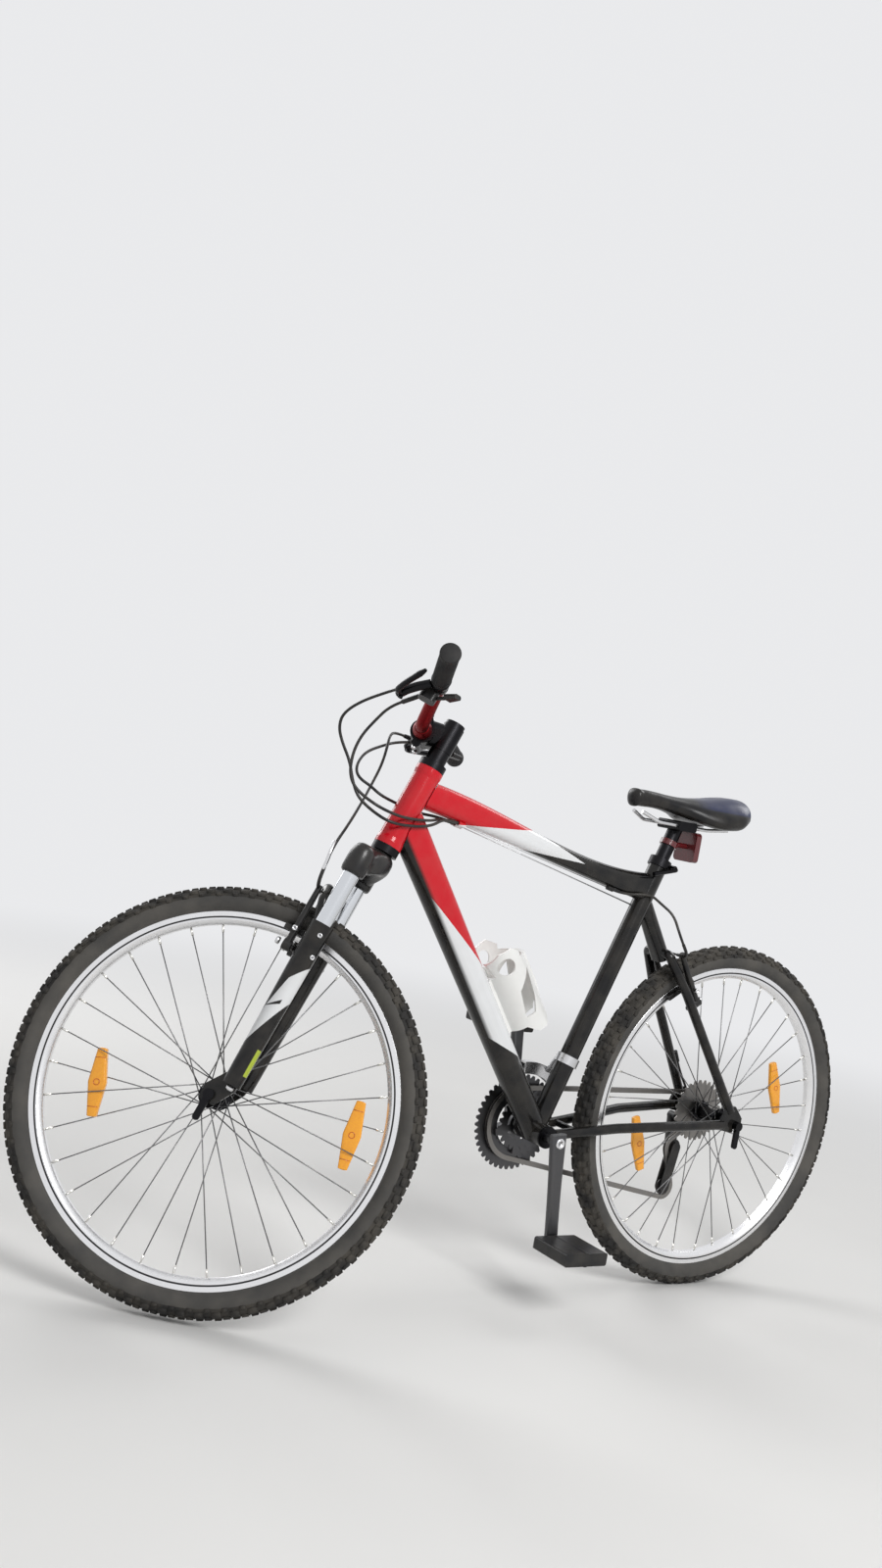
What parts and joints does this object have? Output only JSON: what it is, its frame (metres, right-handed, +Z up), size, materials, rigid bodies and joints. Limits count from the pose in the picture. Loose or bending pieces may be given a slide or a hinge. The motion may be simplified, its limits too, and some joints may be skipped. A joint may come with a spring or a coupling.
{
  "type": "hardtail mountain bicycle",
  "caption": "Hardtail mountain bicycle: rigid rear frame, suspension fork, rim brakes, derailleur gears; the steering, wheels, crank and pedals turn.",
  "frame": {"origin": "middle of the saddle's top", "axes": "+X forward, +Y to the rider's left, +Z up; bicycle upright, steering turned to the rider's right as it was parked"},
  "size_m": [1.6503, 0.4699, 1.0773],
  "materials": {
    "frame_paint": "gloss red, white and black paint",
    "black_paint": "gloss black paint",
    "fork_paint": "gloss black paint with a white swoosh",
    "black_alloy": "black anodised",
    "red_alloy": "red anodised",
    "crank_alloy": "black, satin",
    "chrome_steel": "polished",
    "bright_steel": "satin",
    "chain_steel": "oiled",
    "spoke_steel": "dull",
    "rim_alloy": "machined brake track, dusty",
    "tyre_rubber": "matt, dusty",
    "grip_rubber": "matt",
    "saddle_cover": "smooth black cover, dark blue rear",
    "black_plastic": "matt",
    "white_plastic": "moulded",
    "amber_reflector": "moulded",
    "red_reflector": "moulded",
    "cable_housing": "smooth sheath"
  },
  "bodies": {
    "frame": {"head_tube": "frame_paint", "top_tube": "frame_paint", "down_tube": "frame_paint", "seat_tube": "frame_paint", "bottom_bracket_shell": "frame_paint", "bottom_bracket": "black_alloy", "seat_stays": "frame_paint", "chain_stays": "frame_paint", "dropouts": "black_paint", "headset": "black_alloy", "seat_post": "black_alloy", "seat_clamp": "black_alloy", "saddle": "saddle_cover", "saddle_rails": "chrome_steel", "rear_brake": "black_alloy", "rear_derailleur": "black_alloy", "front_derailleur": "bright_steel", "chain": "chain_steel", "rear_skewer": "bright_steel", "bottle_cage": "white_plastic", "rear_reflector": "red_reflector", "rear_brake_loop": "cable_housing", "rear_derailleur_loop": "cable_housing", "rear_brake_cable": "cable_housing", "front_derailleur_cable": "cable_housing", "rear_derailleur_cable": "cable_housing"},
    "steering": {"fork_crown": "black_alloy", "stanchions": "chrome_steel", "fork_lowers": "fork_paint", "headset_spacers": "black_alloy", "stem": "black_alloy", "handlebar": "red_alloy", "left_grip": "grip_rubber", "right_grip": "grip_rubber", "left_brake_lever": "black_alloy", "right_brake_lever": "black_alloy", "left_shifter": "black_plastic", "right_shifter": "black_plastic", "front_brake": "black_alloy", "front_skewer": "bright_steel", "front_brake_cable": "cable_housing"},
    "front_wheel": {"front_tyre": "tyre_rubber", "front_rim": "rim_alloy", "front_hub": "black_alloy", "front_spokes": "spoke_steel", "front_reflectors": "amber_reflector"},
    "rear_wheel": {"rear_tyre": "tyre_rubber", "rear_rim": "rim_alloy", "rear_hub": "black_alloy", "rear_spokes": "spoke_steel", "cassette": "chain_steel", "rear_reflectors": "amber_reflector"},
    "crankset": {"crankset": "crank_alloy"},
    "left_pedal": {"left_pedal": "black_plastic"},
    "right_pedal": {"right_pedal": "black_plastic"}
  },
  "joints": [
    {"name": "steering", "type": "hinge", "parent": "frame", "child": "steering", "pos_m": [0.62308, 0, -0.1745], "axis": [-0.3827, 0, 0.9239], "range_deg": [-20, 100], "deforming": ["rear_brake_cable", "front_derailleur_cable", "rear_derailleur_cable"]},
    {"name": "front_wheel_spin", "type": "hinge", "parent": "steering", "child": "front_wheel", "pos_m": [0.83403, -0.02668, -0.60072], "axis": [0.5939, 0.766, 0.246], "continuous": true},
    {"name": "rear_wheel_spin", "type": "hinge", "parent": "frame", "child": "rear_wheel", "pos_m": [-0.213, 0, -0.597], "axis": [0, 1, 0], "continuous": true},
    {"name": "crank_spin", "type": "hinge", "parent": "frame", "child": "crankset", "pos_m": [0.211, 0, -0.637], "axis": [0, 1, 0], "continuous": true},
    {"name": "left_pedal_spin", "type": "hinge", "parent": "crankset", "child": "left_pedal", "pos_m": [0.19323, 0.087, -0.80607], "axis": [0, 1, 0], "continuous": true},
    {"name": "right_pedal_spin", "type": "hinge", "parent": "crankset", "child": "right_pedal", "pos_m": [0.22877, -0.087, -0.46793], "axis": [0, 1, 0], "continuous": true}
  ]
}
